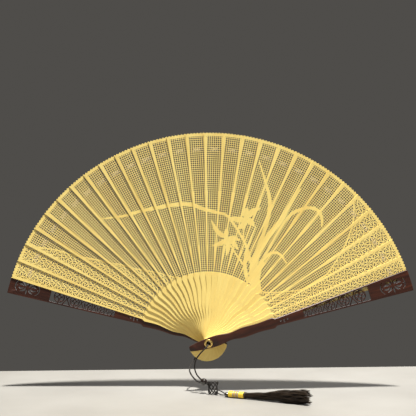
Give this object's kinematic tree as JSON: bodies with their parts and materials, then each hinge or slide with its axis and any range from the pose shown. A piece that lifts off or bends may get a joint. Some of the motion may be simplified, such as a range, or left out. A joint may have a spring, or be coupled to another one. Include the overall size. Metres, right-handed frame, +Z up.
{
  "type": "folding hand fan",
  "caption": "Folding hand fan of overlapping perforated bamboo sticks between two dark wood guards, turning on a brass eyelet that carries a black beaded tassel.",
  "frame": {"origin": "on the pivot axis, half way through the closed stack of sticks", "axes": "+Z up the middle of the open fan, +X to the right seen from the front, +Y along the pivot axis towards the back"},
  "size_m": [0.4174, 0.095, 0.2652],
  "materials": {
    "stick_bamboo": "smooth golden bamboo with fine lengthwise grain",
    "guard_wood": "dark red-brown hardwood, satin",
    "eyelet_brass": "bright polished brass",
    "link_thread": "pale fine thread",
    "cord_black": "dark brown-black braided cord",
    "bead_black": "polished black beads",
    "collar_gold": "gold thread winding, shiny",
    "winding_blue": "blue thread winding",
    "winding_black": "black thread winding",
    "tassel_black": "soft black silk fibres"
  },
  "bodies": {
    "pivot": {"pivot_eyelet": "eyelet_brass", "pivot_washer": "eyelet_brass", "link_thread": "link_thread", "loop_cord_front": "cord_black", "loop_cord_back": "cord_black", "crown_bead": "bead_black", "tassel_knot": "cord_black", "neck_cords": "cord_black", "tassel_bead": "bead_black", "tassel_collar": "collar_gold", "collar_blue_winding": "winding_blue", "collar_black_winding": "winding_black", "skirt_binding": "tassel_black", "tassel_skirt": "tassel_black"},
    "front_guard": {"front_guard": "guard_wood"},
    "rear_guard": {"rear_guard": "guard_wood"},
    "stick_01": {"stick_01": "stick_bamboo"},
    "stick_02": {"stick_02": "stick_bamboo"},
    "stick_03": {"stick_03": "stick_bamboo"},
    "stick_04": {"stick_04": "stick_bamboo"},
    "stick_05": {"stick_05": "stick_bamboo"},
    "stick_06": {"stick_06": "stick_bamboo"},
    "stick_07": {"stick_07": "stick_bamboo"},
    "stick_08": {"stick_08": "stick_bamboo"},
    "stick_09": {"stick_09": "stick_bamboo"},
    "stick_10": {"stick_10": "stick_bamboo"},
    "stick_11": {"stick_11": "stick_bamboo"},
    "stick_12": {"stick_12": "stick_bamboo"},
    "stick_13": {"stick_13": "stick_bamboo"},
    "stick_14": {"stick_14": "stick_bamboo"},
    "stick_15": {"stick_15": "stick_bamboo"},
    "stick_16": {"stick_16": "stick_bamboo"},
    "stick_17": {"stick_17": "stick_bamboo"},
    "stick_18": {"stick_18": "stick_bamboo"},
    "stick_19": {"stick_19": "stick_bamboo"},
    "stick_20": {"stick_20": "stick_bamboo"},
    "stick_21": {"stick_21": "stick_bamboo"},
    "stick_22": {"stick_22": "stick_bamboo"},
    "stick_23": {"stick_23": "stick_bamboo"},
    "stick_24": {"stick_24": "stick_bamboo"},
    "stick_25": {"stick_25": "stick_bamboo"},
    "stick_26": {"stick_26": "stick_bamboo"},
    "stick_27": {"stick_27": "stick_bamboo"},
    "stick_28": {"stick_28": "stick_bamboo"}
  },
  "joints": [
    {"name": "front_guard_fold", "type": "hinge", "parent": "pivot", "child": "front_guard", "pos_m": [0, 0, 0], "axis": [0, -1, 0], "range_deg": [0, 73.22], "deforming": ["link_thread"]},
    {"name": "rear_guard_fold", "type": "hinge", "parent": "pivot", "child": "rear_guard", "pos_m": [0, 0, 0], "axis": [0, -1, 0], "range_deg": [-73.23, 0]},
    {"name": "stick_01_fold", "type": "hinge", "parent": "pivot", "child": "stick_01", "pos_m": [0, 0, 0], "axis": [0, -1, 0], "range_deg": [-68.73, 0]},
    {"name": "stick_02_fold", "type": "hinge", "parent": "pivot", "child": "stick_02", "pos_m": [0, 0, 0], "axis": [0, -1, 0], "range_deg": [-63.69, 0]},
    {"name": "stick_03_fold", "type": "hinge", "parent": "pivot", "child": "stick_03", "pos_m": [0, 0, 0], "axis": [0, -1, 0], "range_deg": [-58.65, 0]},
    {"name": "stick_04_fold", "type": "hinge", "parent": "pivot", "child": "stick_04", "pos_m": [0, 0, 0], "axis": [0, -1, 0], "range_deg": [-53.6, 0]},
    {"name": "stick_05_fold", "type": "hinge", "parent": "pivot", "child": "stick_05", "pos_m": [0, 0, 0], "axis": [0, -1, 0], "range_deg": [-48.56, 0]},
    {"name": "stick_06_fold", "type": "hinge", "parent": "pivot", "child": "stick_06", "pos_m": [0, 0, 0], "axis": [0, -1, 0], "range_deg": [-43.51, 0]},
    {"name": "stick_07_fold", "type": "hinge", "parent": "pivot", "child": "stick_07", "pos_m": [0, 0, 0], "axis": [0, -1, 0], "range_deg": [-38.47, 0]},
    {"name": "stick_08_fold", "type": "hinge", "parent": "pivot", "child": "stick_08", "pos_m": [0, 0, 0], "axis": [0, -1, 0], "range_deg": [-33.42, 0]},
    {"name": "stick_09_fold", "type": "hinge", "parent": "pivot", "child": "stick_09", "pos_m": [0, 0, 0], "axis": [0, -1, 0], "range_deg": [-28.38, 0]},
    {"name": "stick_10_fold", "type": "hinge", "parent": "pivot", "child": "stick_10", "pos_m": [0, 0, 0], "axis": [0, -1, 0], "range_deg": [-23.33, 0]},
    {"name": "stick_11_fold", "type": "hinge", "parent": "pivot", "child": "stick_11", "pos_m": [0, 0, 0], "axis": [0, -1, 0], "range_deg": [-18.29, 0]},
    {"name": "stick_12_fold", "type": "hinge", "parent": "pivot", "child": "stick_12", "pos_m": [0, 0, 0], "axis": [0, -1, 0], "range_deg": [-13.24, 0]},
    {"name": "stick_13_fold", "type": "hinge", "parent": "pivot", "child": "stick_13", "pos_m": [0, 0, 0], "axis": [0, -1, 0], "range_deg": [-8.04, 0]},
    {"name": "stick_14_fold", "type": "hinge", "parent": "pivot", "child": "stick_14", "pos_m": [0, 0, 0], "axis": [0, -1, 0], "range_deg": [-2.84, 0]},
    {"name": "stick_15_fold", "type": "hinge", "parent": "pivot", "child": "stick_15", "pos_m": [0, 0, 0], "axis": [0, -1, 0], "range_deg": [0, 2.4]},
    {"name": "stick_16_fold", "type": "hinge", "parent": "pivot", "child": "stick_16", "pos_m": [0, 0, 0], "axis": [0, -1, 0], "range_deg": [0, 7.61]},
    {"name": "stick_17_fold", "type": "hinge", "parent": "pivot", "child": "stick_17", "pos_m": [0, 0, 0], "axis": [0, -1, 0], "range_deg": [0, 12.81]},
    {"name": "stick_18_fold", "type": "hinge", "parent": "pivot", "child": "stick_18", "pos_m": [0, 0, 0], "axis": [0, -1, 0], "range_deg": [0, 18.01]},
    {"name": "stick_19_fold", "type": "hinge", "parent": "pivot", "child": "stick_19", "pos_m": [0, 0, 0], "axis": [0, -1, 0], "range_deg": [0, 23.21]},
    {"name": "stick_20_fold", "type": "hinge", "parent": "pivot", "child": "stick_20", "pos_m": [0, 0, 0], "axis": [0, -1, 0], "range_deg": [0, 28.41]},
    {"name": "stick_21_fold", "type": "hinge", "parent": "pivot", "child": "stick_21", "pos_m": [0, 0, 0], "axis": [0, -1, 0], "range_deg": [0, 33.53]},
    {"name": "stick_22_fold", "type": "hinge", "parent": "pivot", "child": "stick_22", "pos_m": [0, 0, 0], "axis": [0, -1, 0], "range_deg": [0, 38.65]},
    {"name": "stick_23_fold", "type": "hinge", "parent": "pivot", "child": "stick_23", "pos_m": [0, 0, 0], "axis": [0, -1, 0], "range_deg": [0, 43.76]},
    {"name": "stick_24_fold", "type": "hinge", "parent": "pivot", "child": "stick_24", "pos_m": [0, 0, 0], "axis": [0, -1, 0], "range_deg": [0, 48.88]},
    {"name": "stick_25_fold", "type": "hinge", "parent": "pivot", "child": "stick_25", "pos_m": [0, 0, 0], "axis": [0, -1, 0], "range_deg": [0, 53.99]},
    {"name": "stick_26_fold", "type": "hinge", "parent": "pivot", "child": "stick_26", "pos_m": [0, 0, 0], "axis": [0, -1, 0], "range_deg": [0, 59.1]},
    {"name": "stick_27_fold", "type": "hinge", "parent": "pivot", "child": "stick_27", "pos_m": [0, 0, 0], "axis": [0, -1, 0], "range_deg": [0, 64.22]},
    {"name": "stick_28_fold", "type": "hinge", "parent": "pivot", "child": "stick_28", "pos_m": [0, 0, 0], "axis": [0, -1, 0], "range_deg": [0, 69.33]}
  ],
  "couplings": [
    {"joint": "rear_guard_fold", "follows": "front_guard_fold", "ratio": -1},
    {"joint": "stick_01_fold", "follows": "front_guard_fold", "ratio": -0.93854},
    {"joint": "stick_02_fold", "follows": "front_guard_fold", "ratio": -0.86964},
    {"joint": "stick_03_fold", "follows": "front_guard_fold", "ratio": -0.80074},
    {"joint": "stick_04_fold", "follows": "front_guard_fold", "ratio": -0.73184},
    {"joint": "stick_05_fold", "follows": "front_guard_fold", "ratio": -0.66294},
    {"joint": "stick_06_fold", "follows": "front_guard_fold", "ratio": -0.59403},
    {"joint": "stick_07_fold", "follows": "front_guard_fold", "ratio": -0.52514},
    {"joint": "stick_08_fold", "follows": "front_guard_fold", "ratio": -0.45623},
    {"joint": "stick_09_fold", "follows": "front_guard_fold", "ratio": -0.38733},
    {"joint": "stick_10_fold", "follows": "front_guard_fold", "ratio": -0.31843},
    {"joint": "stick_11_fold", "follows": "front_guard_fold", "ratio": -0.24953},
    {"joint": "stick_12_fold", "follows": "front_guard_fold", "ratio": -0.18063},
    {"joint": "stick_13_fold", "follows": "front_guard_fold", "ratio": -0.10958},
    {"joint": "stick_14_fold", "follows": "front_guard_fold", "ratio": -0.038517},
    {"joint": "stick_15_fold", "follows": "front_guard_fold", "ratio": 0.032541},
    {"joint": "stick_16_fold", "follows": "front_guard_fold", "ratio": 0.1036},
    {"joint": "stick_17_fold", "follows": "front_guard_fold", "ratio": 0.17466},
    {"joint": "stick_18_fold", "follows": "front_guard_fold", "ratio": 0.24571},
    {"joint": "stick_19_fold", "follows": "front_guard_fold", "ratio": 0.31677},
    {"joint": "stick_20_fold", "follows": "front_guard_fold", "ratio": 0.38783},
    {"joint": "stick_21_fold", "follows": "front_guard_fold", "ratio": 0.45769},
    {"joint": "stick_22_fold", "follows": "front_guard_fold", "ratio": 0.52756},
    {"joint": "stick_23_fold", "follows": "front_guard_fold", "ratio": 0.59742},
    {"joint": "stick_24_fold", "follows": "front_guard_fold", "ratio": 0.66728},
    {"joint": "stick_25_fold", "follows": "front_guard_fold", "ratio": 0.73714},
    {"joint": "stick_26_fold", "follows": "front_guard_fold", "ratio": 0.80701},
    {"joint": "stick_27_fold", "follows": "front_guard_fold", "ratio": 0.87687},
    {"joint": "stick_28_fold", "follows": "front_guard_fold", "ratio": 0.94673}
  ]
}
